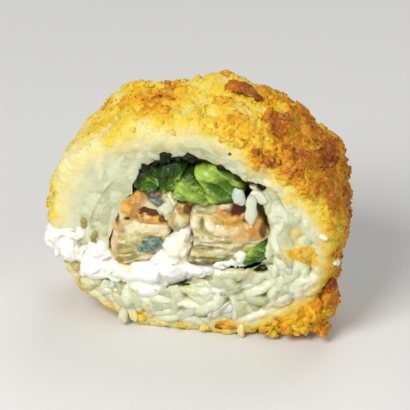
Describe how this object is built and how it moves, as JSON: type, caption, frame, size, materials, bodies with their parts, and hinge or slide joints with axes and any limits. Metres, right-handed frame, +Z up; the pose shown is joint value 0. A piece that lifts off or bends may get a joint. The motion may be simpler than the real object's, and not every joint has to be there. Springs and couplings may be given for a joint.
{
  "type": "eel tempura roll piece",
  "caption": "Slice of a fried sushi roll: golden crumbed rice round nori, with glazed eel, cucumber sticks and soft cheese showing at both cut faces.",
  "frame": {"origin": "centre of the small flat spot on the crumbed side that the slice rests on", "axes": "+Z up; +Y along the roll, away from the front cut face, which looks along -Y; +X to the right across that face"},
  "size_m": [0.054, 0.0227, 0.0437],
  "materials": {
    "fried_rice": "fried crumb crust over steamed rice",
    "nori": "damp dark seaweed",
    "glazed_eel": "sticky sweet glaze over flaky flesh",
    "cucumber": "wet cut cucumber",
    "soft_cheese": "moist soft white cheese"
  },
  "bodies": {
    "root": {"fried_rice_ring": "fried_rice", "nori_sheet": "nori", "eel_strip_1": "glazed_eel", "eel_strip_2": "glazed_eel", "eel_strip_3": "glazed_eel", "cucumber_stick_1": "cucumber", "cucumber_stick_2": "cucumber", "cucumber_stick_3": "cucumber", "cucumber_stick_4": "cucumber", "cucumber_stick_5": "cucumber", "soft_cheese": "soft_cheese"}
  },
  "joints": []
}
